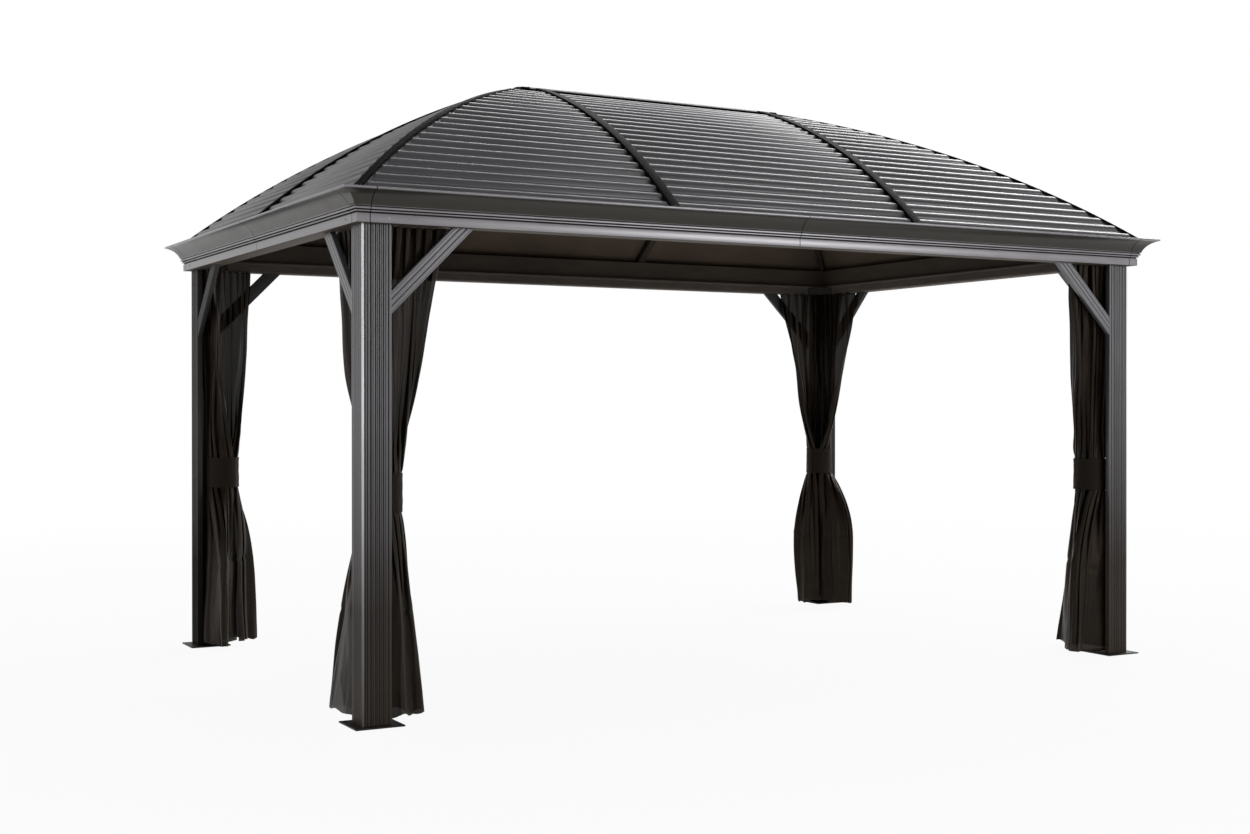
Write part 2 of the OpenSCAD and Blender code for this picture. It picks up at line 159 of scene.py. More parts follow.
# painted highlight: a pale, metallic strip along the rounded outer corner of the front posts, standing for
# the light it catches
cornerHighlight = coatedMetal("painted_corner_highlight", {
    "dark": "#bebcc0", "light": "#dedce0", "stretch": (1, 1, 0.05), "streakScale": 40.0, "lowShade": "#3a322c",
    "lowShadeTop": 1.2, "peel": 0.2, "rough": 0.28, "metallic": 0.75, "shine": 0.6})
# painted shade: the bottoms of the grooves are drawn dark, standing for the shade that falls in them
grooveShade = coatedMetal("powder_coated_groove_shade", {
    "dark": "#1c1a19", "light": "#292625", "stretch": (1, 1, 0.05), "streakScale": 50.0,
    "peel": 0.2, "rough": 0.55, "metallic": 0.0, "shine": 0.2})
# the same coat on the crown moulding, drawn lighter than on the posts as a painted highlight for the light on
# its slightly glossier flat bands
fasciaCoat = coatedMetal("powder_coated_aluminium_moulding", {
    "dark": "#7f7c7f", "light": "#928f93", "stretch": (0.3, 0.3, 1), "streakScale": 25.0,
    "peel": 0.2, "rough": 0.3, "metallic": 0.25, "shine": 0.7})
# deep olive-brown and nearly matt, to stand for the lip's shade on the cove
coveCoat = coatedMetal("powder_coated_aluminium_cove", {
    "dark": "#211d16", "light": "#2c281d", "stretch": (0.3, 0.3, 1), "streakScale": 25.0,
    "peel": 0.2, "rough": 0.34, "metallic": 0.0, "shine": 0.4})
braceCoat = coatedMetal("powder_coated_aluminium_brace", {
    "dark": "#5e5d60", "light": "#717074", "stretch": (1, 1, 1), "streakScale": 30.0,
    "peel": 0.25, "rough": 0.34, "metallic": 0.25, "shine": 0.7})
# coil-coated steel sheet: smooth semi-gloss grey paint that catches the sky along each rib
roofCoat = coatedMetal("coil_coated_steel_sheet", {
    "dark": "#313034", "light": "#3d3c41", "stretch": (0.25, 0.25, 1), "streakScale": 14.0,
    "peel": 0.1, "rough": 0.38, "metallic": 0.0, "shine": 0.8})
# sheet from below: brown primer coat, matt and dark
undersideCoat = coatedMetal("primer_coated_steel_underside", {
    "dark": "#54483e", "light": "#64574c", "stretch": (0.3, 0.3, 1), "streakScale": 12.0,
    "peel": 0.2, "rough": 0.6, "metallic": 0.0, "shine": 0.1})
# hip and joint caps: black powder coat, satin
capCoat = coatedMetal("black_powder_coated_cap", {
    "dark": "#0c0b0a", "light": "#151312", "stretch": (1, 1, 1), "streakScale": 18.0,
    "peel": 0.3, "rough": 0.6, "metallic": 0.0, "shine": 0.02})
ridgeCoat = coatedMetal("powder_coated_aluminium_ridge", {
    "dark": "#6c6b6d", "light": "#7c7b7d", "stretch": (0.2, 1, 1), "streakScale": 20.0,
    "peel": 0.2, "rough": 0.35, "metallic": 0.0, "shine": 0.6})
beamCoat = coatedMetal("powder_coated_steel_beam", {
    "dark": "#504841", "light": "#61584f", "stretch": (0.2, 0.2, 1), "streakScale": 30.0,
    "peel": 0.25, "rough": 0.6, "metallic": 0.0, "shine": 0.1})
railCoat = coatedMetal("powder_coated_aluminium_rail", {
    "dark": "#625b55", "light": "#736b64", "stretch": (0.2, 0.2, 1), "streakScale": 40.0,
    "peel": 0.25, "rough": 0.6, "metallic": 0.0, "shine": 0.1})
rafterCoat = coatedMetal("powder_coated_steel_rafter", {
    "dark": "#2e2823", "light": "#3a332d", "stretch": (1, 1, 1), "streakScale": 25.0,
    "peel": 0.25, "rough": 0.6, "metallic": 0.0, "shine": 0.1})
# hot-rolled plate under black paint: rougher than the extrusions
plateCoat = coatedMetal("black_painted_steel_plate", {
    "dark": "#151312", "light": "#201d1b", "stretch": (1, 1, 1), "streakScale": 35.0,
    "peel": 0.6, "rough": 0.5, "metallic": 0.0, "shine": 0.25})
# zinc-plated screw, brushed by its driver
screwZinc = coatedMetal("zinc_plated_steel_screw", {
    "dark": "#8b8a88", "light": "#b0afac", "stretch": (1, 1, 1), "streakScale": 300.0,
    "peel": 0.2, "rough": 0.4, "metallic": 1.0, "shine": 0.5})


def curtainFabric(name, look):
    # Polyester cloth, soft and slightly shiny along the folds. A real mesh is 1 to 2 mm, too fine to show,
    # so it is drawn coarser: 6.4 mm on the curtains and 3.9 mm on the bands.
    material, tree, shader = newMaterial(name)
    place = addNode(tree, "ShaderNodeTexCoord")
    # threads lie along the cloth's own width and length, which its UV map keeps in metres
    across, along = [addNode(tree, "ShaderNodeTexWave",
                             {"bands_direction": way, "Scale": look["threads"], "Distortion": 0.4},
                             {"Vector": place.outputs["UV"]}) for way in ("X", "Y")]
    weave = addNode(tree, "ShaderNodeMath", {"operation": "MULTIPLY"},
                    {0: across.outputs["Fac"], 1: along.outputs["Fac"]})
    slub = addNode(tree, "ShaderNodeTexNoise", {"Scale": 9.0, "Detail": 5.0, "Roughness": 0.6},
                   {"Vector": place.outputs["Object"]})
    fade = addNode(tree, "ShaderNodeMapRange", {"From Min": 0.3, "From Max": 0.75},
                   {"Value": slub.outputs["Fac"]})
    cloth = addNode(tree, "ShaderNodeMix",
                    {"data_type": "RGBA", 6: linear(look["dark"]), 7: linear(look["light"])},
                    {"Factor": fade.outputs["Result"]})
    holes = addNode(tree, "ShaderNodeMix", {"data_type": "RGBA", "Factor": 0.35, 7: linear(look["thread"])},
                    {6: cloth.outputs[2]})
    knit = addNode(tree, "ShaderNodeMix", {"data_type": "RGBA"},
                   {"Factor": weave.outputs["Value"], 6: cloth.outputs[2], 7: holes.outputs[2]})
    tree.links.new(knit.outputs[2], shader.inputs["Base Color"])
    relief = addNode(tree, "ShaderNodeBump", {"Strength": 0.35, "Distance": 0.0006},
                     {"Height": weave.outputs["Value"]})
    tree.links.new(relief.outputs["Normal"], shader.inputs["Normal"])
    shader.inputs["Roughness"].default_value = look["rough"]
    shader.inputs["Specular IOR Level"].default_value = look["shine"]
    shader.inputs["Specular Tint"].default_value = linear("#dcc8b4")
    shader.inputs["Sheen Weight"].default_value = look["sheen"]
    shader.inputs["Sheen Roughness"].default_value = 0.45
    shader.inputs["Sheen Tint"].default_value = linear("#8c7d6e")
    shader.inputs["Alpha"].default_value = look["alpha"]
    return material


curtainCloth = curtainFabric("knitted_polyester_netting", {
    "dark": "#0f0c09", "light": "#1e1915", "thread": "#352d26", "threads": 49.0, "rough": 0.45, "shine": 0.2,
    "sheen": 0.06, "alpha": 0.985})
tieCloth = curtainFabric("woven_polyester_band", {
    "dark": "#100d0b", "light": "#1b1714", "thread": "#2c2621", "threads": 80.0, "rough": 0.6, "shine": 0.16,
    "sheen": 0.05, "alpha": 1.0})
print("finishes made")


def loft(shape, rings):
    # joins closed rings of equal length with quads and caps both ends; shape is a [points, faces] pair
    points, faces = shape
    start = len(points)
    count = len(rings[0])
    for ring in rings:
        points.extend(tuple(p) for p in ring)
    for r in range(len(rings) - 1):
        for k in range(count):
            a = start + r * count + k
            b = start + r * count + (k + 1) % count
            faces.append((a, b, b + count, a + count))
    faces.append(tuple(range(start + count - 1, start - 1, -1)))
    last = start + (len(rings) - 1) * count
    faces.append(tuple(range(last, last + count)))


def rounded(points, radii, closed=True, steps=3):
    # softens each corner of a section by its own radius
    result = []
    count = len(points)
    for k, point in enumerate(points):
        radius = radii[k] if isinstance(radii, (list, tuple)) else radii
        if radius <= 0 or (not closed and k in (0, count - 1)):
            result.append(point)
            continue
        here = Vector(point)
        before = Vector(points[k - 1]) - here
        after = Vector(points[(k + 1) % count]) - here
        start = here + before.normalized() * min(radius, before.length * 0.45)
        end = here + after.normalized() * min(radius, after.length * 0.45)
        for s in range(steps + 1):
            t = s / steps
            result.append(tuple(start * (1 - t) ** 2 + here * 2 * t * (1 - t) + end * t * t))
    return result


def makePiece(name, shape, materials, sharp=40, replaces=()):
    mesh = bpy.data.meshes.new(name)
    mesh.from_pydata(shape[0], [], shape[1])
    work = bmesh.new()
    work.from_mesh(mesh)
    bmesh.ops.recalc_face_normals(work, faces=work.faces)
    work.to_mesh(mesh)
    work.free()
    mesh.shade_smooth()
    mesh.set_sharp_from_angle(angle=math.radians(sharp))
    for material in materials:
        mesh.materials.append(material)
    piece = bpy.data.objects.new(name, mesh)
    scene.collection.objects.link(piece)
    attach(piece, "root")
    if replaces:
        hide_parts(*replaces)
    return piece


# flutes are (start, width, depth) in millimetres from the outer corner
post = {"thick": 0.028, "corner": 0.007, "edge": 0.0012, "grooveFloor": (0.0013, 0.0035),
        "flutes": [(9, 5, 3), (20, 4, 3), (33, 7, 3), (44, 2.5, 2), (54, 5, 3), (63, 2.5, 2), (70, 5, 3),
                   (80, 2.5, 2), (87, 5, 3), (97, 2.5, 2), (108, 5, 3)]}


def postSection():
    face = []
    for start, width, depth in post["flutes"]:
        a, w, d = start / 1000, width / 1000, depth / 1000
        face += [(a, 0), (a + w * 0.2, d), (a + w * 0.8, d), (a + w, 0)]
    soft = [post["edge"]] * len(face)
    outline = [(0, 0)] + face + [(flange, 0), (flange, post["thick"]), (post["thick"], post["thick"]),
                                 (post["thick"], flange), (0, flange)]
    radii = [post["corner"]] + soft + [0.002, 0.001, 0.003, 0.001, 0.002]
    outline += [(q, p) for p, q in reversed(face)]
    radii += soft
    return rounded(outline, radii, steps=3)


def cornerPlace(sx, sy, p, q):
    # p and q run inwards from the outer corner of a post
    return (sx * (halfX - p), sy * (halfY - q))


corners = {"front_left": (-1, -1), "front_right": (1, -1), "back_left": (-1, 1), "back_right": (1, 1)}
section = postSection()
for name, (sx, sy) in corners.items():
    shape = [[], []]
    rings = []
    for z in (plateTop, clearHeight):
        rings.append([(*cornerPlace(sx, sy, p, q), z) for p, q in section])
    loft(shape, rings)
    # rear posts take the painted-shade coat all over; front posts carry the painted corner highlight
    coats = [postCoat, cornerHighlight, grooveShade] if sy < 0 else [shadedCoat, shadedCoat, grooveShade]
    piece = makePiece("post_" + name + "_fluted", shape, coats, 35, ["post_" + name])
    # the flute bottoms take the painted groove shade
    low, high = post["grooveFloor"]
    for face in piece.data.polygons:
        p, q = halfX - face.center.x * sx, halfY - face.center.y * sy
        if max(p, q) < post["corner"]:
            face.material_index = 1
        elif low < min(p, q) < high and max(p, q) < flange - 0.002:
            face.material_index = 2
print("posts done")

# out and up from the post's outer face and the beam's underside, in millimetres
moulding = {
    "coveCentre": (129.7, 39.45), "coveRadius": 85.9, "skin": 4, "corner": 0.022, "gap": 0.0035,
    "foot": [(0, 0), (34, 0), (34, 36), (30, 37), (30, 41), (40, 42), (40, 47), (37, 48), (37, 51),
             (46, 52), (46, 59), (42, 63.5)],
    "footRound": [0, 1.5, 1.0, 0.4, 0.4, 0.8, 0.8, 0.4, 0.4, 1.0, 1.5, 0.6],
    "recesses": [(36.3, 41.7), (47.3, 51.7), (60, 64)],
    "lip": [(114, 124), (114, 132), (107, 132)], "lipRound": [1.5, 2.0, 1.0],
    "spliceHalf": 0.02, "spliceDepth": 0.0012}


def mouldingSection():
    cx, cz = moulding["coveCentre"]
    front, back = moulding["coveRadius"], moulding["coveRadius"] + moulding["skin"]
    outline = list(moulding["foot"])
    radii = list(moulding["footRound"])
    coveStart = len(outline)
    for tau in range(72, 15, -4):
        turn = math.radians(tau)
        outline.append((cx - front * math.sin(turn), cz + front * math.cos(turn)))
        radii.append(0)
    coveEnd = len(outline)
    outline += moulding["lip"]
    radii += moulding["lipRound"]
    for tau in range(16, 73, 8):
        turn = math.radians(tau)
        outline.append((cx - back * math.sin(turn), cz + back * math.cos(turn)))
        radii.append(0)
    outline.append((0, 60))
    radii.append(0)
    return [(e / 1000, z / 1000) for e, z in outline], [r / 1000 for r in radii], coveStart, coveEnd


rawSection, rawRadii, coveStart, coveEnd = mouldingSection()
mouldingLine = rounded(rawSection, rawRadii, steps=2)
coveLow = rawSection[coveStart][1] - 0.0005
coveHigh = rawSection[coveEnd - 1][1] + 0.0005
mouldingCoats = [fasciaCoat, coveCoat, beamCoat, grooveShade]


def markCove(piece):
    # the cove's outward faces take the shaded, darker coat, the underside its own, and the recesses the
    # painted groove shade
    centre = Vector(moulding["coveCentre"]) / 1000
    for face in piece.data.polygons:
        mid = face.center
        high = mid.z - clearHeight
        out = max(abs(mid.x) - halfX, abs(mid.y) - halfY)
        reach = (Vector((out, high)) - centre).length
        if coveLow < high < coveHigh and reach < (moulding["coveRadius"] + 1.5) / 1000:
            face.material_index = 1
        if face.normal.z < -0.9 and high < 0.005:
            face.material_index = 2
        if out > 0.02 and any(low < high * 1000 < top for low, top in moulding["recesses"]):
            face.material_index = 3


def mouldingRun(shape, start, end, side, line):
    # start and end are (x, y) on the post line; side is the plan direction of out at each
    rings = []
    for spot, out in ((start, side[0]), (end, side[1])):
        rings.append([(spot[0] + out[0] * e, spot[1] + out[1] * e, clearHeight + z) for e, z in line])
    loft(shape, rings)


def sunk(line, depth):
    # the same section drawn a little inside its own skin
    result = []
    for k, (e, z) in enumerate(line):
        way = (Vector(line[(k + 1) % len(line)]) - Vector(line[k - 1])).normalized()
        result.append((e - way.y * depth, z + way.x * depth))
    return result


sides = {"front": ((-1, -1), (1, -1), (0, -1)), "back": ((1, 1), (-1, 1), (0, 1)),
         "left": ((-1, 1), (-1, -1), (-1, 0)), "right": ((1, -1), (1, 1), (1, 0))}


def sideLine(name):
    # both ends of a side on the post line, the way from one to the other, and out
    first, second, out = sides[name]
    a = Vector((first[0] * halfX, first[1] * halfY))
    b = Vector((second[0] * halfX, second[1] * halfY))
    return a, b, (b - a).normalized(), out


for name in sides:
    shape = [[], []]
    a, b, along, out = sideLine(name)
    middle = (a + b) / 2
    gap = moulding["gap"]
    for start, end in ((a + along * (moulding["corner"] + gap / 2), middle - along * gap / 2),
                       (middle + along * gap / 2, b - along * (moulding["corner"] + gap / 2))):
        mouldingRun(shape, start, end, (out, out), mouldingLine)
    piece = makePiece("fascia_" + name + "_run", shape, mouldingCoats, 50,
                      ["fascia_" + name])
    markCove(piece)

shape = [[], []]
for sx, sy in corners.values():
    reach = moulding["corner"] - moulding["gap"] / 2
    rings = []
    for spot, out in (((sx * (halfX - reach), sy * halfY), (0, sy)), ((sx * halfX, sy * halfY), (sx, sy)),
                      ((sx * halfX, sy * (halfY - reach)), (sx, 0))):
        rings.append([(spot[0] + out[0] * e, spot[1] + out[1] * e, clearHeight + z) for e, z in mouldingLine])
    loft(shape, rings)
piece = makePiece("fascia_corners_mitred", shape, mouldingCoats, 50, ["fascia_corners"])
markCove(piece)

# dark splice plates close the joints from behind
shape = [[], []]
spliceLine = sunk(mouldingLine, moulding["spliceDepth"])
for name in sides:
    a, b, along, out = sideLine(name)
    for spot in (a + along * moulding["corner"], (a + b) / 2, b - along * moulding["corner"]):
        half = along * moulding["spliceHalf"]
        mouldingRun(shape, spot - half, spot + half, (out, out), spliceLine)
makePiece("fascia_splices", shape, [capCoat], 50)
print("moulding done")

# knee braces run from the posts' inner edges up to the beam's underside
brace = {"leg": 0.312, "width": 0.066, "thick": 0.024, "face": 0.002,
         "grooves": [(-26, 2, 1), (-10, 3, 2.5), (10, 3, 2.5), (26, 2, 1)]}


def braceSection():
    half = brace["width"] / 2
    top = []
    radii = []
    for mid, width, depth in brace["grooves"]:
        a, w, d = mid / 1000 - width / 2000, width / 1000, depth / 1000
        top += [(a, 0), (a + w * 0.15, d), (a + w * 0.85, d), (a + w, 0)]
        radii += [0.0006] * 4
    outline = [(-half, 0)] + top + [(half, 0), (half, brace["thick"]), (-half, brace["thick"])]
    radii = [0.003] + radii + [0.003, 0.002, 0.002]
    return rounded(outline, radii, steps=2)


braceLine = braceSection()
for name, (sx, sy) in corners.items():
    shape = [[], []]
    for turned in (False, True):
        rings = []
        for foot in (True, False):
            ring = []
            for w, depth in braceLine:
                # the foot is cut to the post's edge and the head to the beam's underside
                if foot:
                    run, z = flange, clearHeight - brace["leg"] + w * math.sqrt(2)
                else:
                    run, z = flange + brace["leg"] - w * math.sqrt(2), clearHeight
                p, q = run, brace["face"] + depth
                if turned:
                    p, q = q, p
                ring.append((*cornerPlace(sx, sy, p, q), z))
            rings.append(ring)
        loft(shape, rings)
    # rear braces take the painted-shade coat
    coat = braceCoat if sy < 0 else shadedCoat
    piece = makePiece("brace_pair_" + name, shape, [coat, grooveShade], 40, ["braces_" + name])
    # the groove bottoms take the painted groove shade
    for face in piece.data.polygons:
        deep = min(halfX - face.center.x * sx, halfY - face.center.y * sy) - brace["face"]
        if 0.0011 < deep < 0.003 and abs(face.normal.z) < 0.6:
            face.material_index = 1
print("braces done")

# arched hip roof: lengths in metres, the slope at the eave in degrees
roof = {
    "eaveOut": 0.048, "eaveZ": clearHeight + 0.120, "rise": 0.748, "slope": 41.5, "rows": 24, "plain": 2,
    "ribFoot": (0.26, 0.64, 1.0), "ribHeight": 0.015, "ribInset": 0.0015, "ribSunk": 0.0008,
    "ribMiddle": 0.63, "ribLean": 0.45, "skin": 0.004, "steps": 96, "ridgeHalfWidth": 0.045,
    "capWidth": 0.050, "capUp": 0.021, "hipHalf": 0.013, "hipUp": 0.012, "jointX": 0.080}
roofRun = halfY + roof["eaveOut"]
ridgeHalf = halfX - halfY
chordAngle = math.atan2(roof["rise"], roofRun)
eaveAngle = math.radians(roof["slope"])
ridgeAngle = 2 * chordAngle - eaveAngle
arcRadius = math.hypot(roof["rise"], roofRun) / 2 / math.sin((eaveAngle - ridgeAngle) / 2)
arcOut = -arcRadius * math.sin(ridgeAngle)
arcUp = roof["eaveZ"] + roof["rise"] - arcRadius * math.cos(ridgeAngle)
jointAt = ridgeHalf - roof["jointX"]
ribTop = roof["ribFoot"][2]


def onArc(row, up=0.0):
    # out and z of a point so many rows up from the eave, raised square to the sheet
    angle = eaveAngle - (eaveAngle - ridgeAngle) * row / roof["rows"]
    return (arcOut + (arcRadius + up) * math.sin(angle), arcUp + (arcRadius + up) * math.cos(angle))


def slopePlace(slope, across, out, z):
    if slope == "front":
        return (across, -out, z)
    if slope == "back":
        return (across, out, z)
    side = -1 if slope == "left" else 1
    return (side * (ridgeHalf + out), across, z)


def ribSection():
    # along the slope in rows, and height: a roll that climbs slowly to its crest and drops behind it
    low, crest, high = roof["ribFoot"]
    outline = []
    for k in range(8):
        t = k / 8
        up = roof["ribHeight"] * math.sin(math.pi / 2 * t) ** 0.75
        outline.append((low + (crest - low) * t, up - roof["ribSunk"]))
    for k in range(11):
        t = math.sin(math.pi / 2 * k / 10)
        up = roof["ribHeight"] * (1 - t ** 2.3)
        outline.append((crest + (high - crest) * t, up - roof["ribSunk"]))
    return outline


ribLine = ribSection()


def sheetPiece(slope, part, inner, outer, rowTop):
    # inner and outer give the across limits for an out distance; ribs stop a little short of them
    shape = [[], []]
    rings = []
    for k in range(roof["steps"] + 1):
        ring = []
        for up in (0.0, -roof["skin"]):
            out, z = onArc(rowTop * k / roof["steps"], up)
            ends = (inner(out), outer(out)) if up == 0.0 else (outer(out), inner(out))
            ring += [slopePlace(slope, x, out, z) for x in ends]
        rings.append(ring)
    loft(shape, rings)
    sheetFaces = len(shape[1])
    inset, lean, middle = roof["ribInset"], roof["ribLean"], roof["ribMiddle"]
    for i in range(roof["rows"] - roof["plain"]):
        top = onArc(i + ribTop)[0]
        if i + ribTop > rowTop:
            break
        way = 1 if outer(top) > inner(top) else -1
        if (outer(top) - inner(top)) * way < 0.02 + 2 * inset:
            continue
        # each end is a full section with a smaller one outside it, which softens the end
        sections = ((inner, inset, 0.75), (inner, inset + 0.003, 1),
                    (outer, -inset - 0.003, 1), (outer, -inset, 0.75))
        rings = []
        for edge, back, shrink in sections:
            ring = []
            for s, up in ribLine:
                if shrink < 1:
                    s = middle + (s - middle) * 0.96
                    up = up * shrink
                # ends lean about halfway between square and the hip's own line
                limit = edge(top * (1 - lean) + onArc(i + s)[0] * lean)
                out, z = onArc(i + s, up)
                ring.append(slopePlace(slope, limit + back * way, out, z))
            rings.append(ring)
        loft(shape, rings)
    piece = makePiece("sheet_" + slope + "_" + part, shape, [roofCoat, undersideCoat], 38,
                      ["roof_" + slope + "_" + part])
    for face in piece.data.polygons:
        if face.index < sheetFaces and face.normal.z < -0.1:
            face.material_index = 1


hipGap = roof["hipHalf"] * math.sqrt(2)
halfCap = roof["capWidth"] / 2
lastRow = onArc(roof["rows"] - 1)[0]  # out distance of the row below the ridge
# the sheets of a long slope and of an end slope, with their inner and outer edges
longSheets = {"center": (lambda out: -jointAt + halfCap, lambda out: jointAt - halfCap),
              "right": (lambda out: jointAt + halfCap, lambda out: ridgeHalf + out - hipGap),
              "left": (lambda out: -jointAt - halfCap, lambda out: -(ridgeHalf + out - hipGap))}
endSheets = {"front": (lambda out: -halfCap, lambda out: -(out - hipGap)),
             "back": (lambda out: halfCap, lambda out: out - hipGap)}
slopes = {"front": (longSheets, roof["ridgeHalfWidth"]), "back": (longSheets, roof["ridgeHalfWidth"]),
          "left": (endSheets, halfCap + hipGap), "right": (endSheets, halfCap + hipGap)}
for slope, (sheets, topGap) in slopes.items():
    for part, (inner, outer) in sheets.items():
        sheetPiece(slope, part, inner, outer, roof["rows"] - topGap / lastRow)
print("roof sheets done")


# how deep each bar sinks below the sheet, and how many rows short of the ridge it stops
cap = {"edge": 0.003, "steps": 72, "hipLow": -0.016, "hipShort": 0.35, "jointLow": -0.004,
       "jointShort": 0.6, "endShort": 1.1}


def barOutline(half, low, high):
    # square-shouldered bar, as (across, up) from the sheet line
    edge = cap["edge"]
    return rounded([(-half, low), (-half, high), (half, high), (half, low)], [0, edge, edge, 0], closed=False)


shape = [[], []]
for sx, sy in corners.values():
    across = Vector((sx, -sy)).normalized()
    rings = []
    for k in range(cap["steps"] + 1):
        out, z = onArc((roof["rows"] - cap["hipShort"]) * k / cap["steps"])
        x, y = sx * (ridgeHalf + out), sy * out
        rings.append([(x + across[0] * w, y + across[1] * w, z + up)
                      for w, up in barOutline(roof["hipHalf"], cap["hipLow"], roof["hipUp"])])
    loft(shape, rings)
makePiece("hip_bars", shape, [capCoat], 40, ["hip_caps"])

shape = [[], []]
for slope in slopes:
    for at in ((-jointAt, jointAt) if slope in ("front", "back") else (0.0,)):
        short = cap["jointShort"] if at else cap["endShort"]
        rings = []
        for k in range(cap["steps"] + 1):
            row = (roof["rows"] - short) * k / cap["steps"]
            rings.append([slopePlace(slope, at + w, *onArc(row, up))
                          for w, up in barOutline(halfCap, cap["jointLow"], roof["capUp"])])
        loft(shape, rings)
makePiece("joint_bars", shape, [capCoat], 40, ["joint_caps"])

# ridge strip with an eight-sided block at each end
ridge = {"half": 0.045, "flat": 0.030, "shoulder": 0.012, "drop": 0.030, "inset": 0.02, "endReach": 0.046,
         "round": [0, 0.003, 0.006, 0.006, 0.003, 0]}
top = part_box("ridge_cap")[1].z
half, flat = ridge["half"], ridge["flat"]
low, shoulder = top - ridge["drop"], top - ridge["shoulder"]
outline = rounded([(-half, low), (-half, shoulder), (-flat, top), (flat, top), (half, shoulder), (half, low)],
                  ridge["round"], closed=False)
shape = [[], []]
ends = (-ridgeHalf + ridge["inset"], ridgeHalf - ridge["inset"])
loft(shape, [[(x, y, z) for y, z in outline] for x in ends])
piece = makePiece("ridge_strip", shape, [ridgeCoat, capCoat], 40, ["ridge_cap"])
# painted shadow: the strip's lower sides take the black cap coat, standing for the shadow gap beneath it
for face in piece.data.polygons:
    if face.center.z < top - 0.014:
        face.material_index = 1
shape = [[], []]
for side in (-1, 1):
    rings = []
    for z, wide in ((low, 1.0), (top - 0.010, 1.0), (top - 0.006, 0.92)):
        reach = ridge["endReach"] * wide / math.cos(math.radians(22.5))
        turns = [math.radians(22.5 + 45 * k) for k in range(8)]
        rings.append([(side * ridgeHalf + reach * math.cos(t), reach * math.sin(t), z) for t in turns])
    loft(shape, rings)
makePiece("ridge_ends", shape, [capCoat], 40)
print("roof trim done")

screw = {"radius": 0.0045, "height": 0.003, "inset": 0.101, "up": 0.020, "out": 0.034, "sides": 10}


def addScrew(shape, spot, out):
    # pan head: a low dome with a dished top
    side = Vector((-out[1], out[0], 0))
    rings = []
    for reach, high in ((1.0, -0.0005), (1.0, 0.45), (0.7, 0.95), (0.3, 1.0), (0.25, 0.7)):
        ring = []
        for k in range(screw["sides"]):
            turn = 2 * math.pi * k / screw["sides"]
            ring.append(tuple(Vector(spot) + Vector((*out, 0)) * screw["height"] * high
                              + side * screw["radius"] * reach * math.cos(turn)
                              + Vector((0, 0, 1)) * screw["radius"] * reach * math.sin(turn)))
        rings.append(ring)
    loft(shape, rings)


shape = [[], []]
for sx, sy in corners.values():
    z = clearHeight + screw["up"]
    addScrew(shape, (sx * (halfX - screw["inset"]), sy * (halfY + screw["out"]), z), (0, sy))
    addScrew(shape, (sx * (halfX + screw["out"]), sy * (halfY - screw["inset"]), z), (sx, 0))
makePiece("moulding_screws", shape, [screwZinc], 40)
print("screws done")

# lengths in metres: a curtain is two halves, one along each of its corner's rails
curtain = {
    "columns": 230, "rows": 190, "folds": 7, "top": clearHeight - 0.002, "tie": 0.925, "tieDepth": 0.158,
    "bundle": 0.132, "bundleRadius": 0.058, "bandInside": 0.0795, "line": 0.064, "near": 0.034,
    "hem": 0.016, "hemRise": 0.14, "freePleat": 0.0235, "tiedPleat": 0.019, "crease": 0.45,
    "flat": (0.68, 1.95)}
# how far each half reaches along its rail and at the hem, and how late it draws in to the band
shapes = {
    "front_left": {
        "along": {"top": 0.368, "rail": 0.062, "late": 1.2, "hem": 0.268, "open": 1.2, "swing": 0.085},
        "inward": {"top": 0.394, "rail": 0.048, "late": 3.4, "hem": 0.450, "open": 1.3, "swing": 0.006},
        "seed": 3},
    "front_right": {
        "along": {"top": 0.330, "rail": 0.060, "late": 2.0, "hem": 0.325, "open": 0.95, "swing": 0.070},
        "inward": {"top": 0.360, "rail": 0.062, "late": 4.5, "hem": 0.405, "open": 1.1, "swing": 0.080},
        "seed": 11},
    "back_left": {
        "along": {"top": 0.305, "rail": 0.062, "late": 1.5, "hem": 0.300, "open": 0.6, "swing": 0.085},
        "inward": {"top": 0.350, "rail": 0.060, "late": 1.8, "hem": 0.345, "open": 0.6, "swing": 0.080},
        "seed": 23},
    "back_right": {
        "along": {"top": 0.372, "rail": 0.060, "late": 1.3, "hem": 0.275, "open": 0.5, "swing": 0.100},
        "inward": {"top": 0.392, "rail": 0.060, "late": 1.5, "hem": 0.375, "open": 0.5, "swing": 0.060},
        "seed": 31}}


def bezier(start, knee, end, u):
    u = u[:, None]
    return np.array(start) * (1 - u) ** 2 + np.array(knee) * 2 * u * (1 - u) + np.array(end) * u ** 2


def smoothNoise(u, stretch, z, seed):
    return np.array([noise.noise(Vector((a * stretch, z, seed))) for a in u])


def clothPiece(name, points, uvs, columns, material, replaces):
    # quads between rows of points, with a UV map in metres of cloth
    faces = []
    for a in range(len(points) - columns):
        if (a + 1) % columns:
            faces.append((a, a + 1, a + 1 + columns, a + columns))
    piece = makePiece(name, [points, faces], [material], 180, replaces)
    layer = piece.data.uv_layers.new(name="cloth")
    for loop in piece.data.loops:
        layer.data[loop.index].uv = uvs[loop.vertex_index]
    return piece


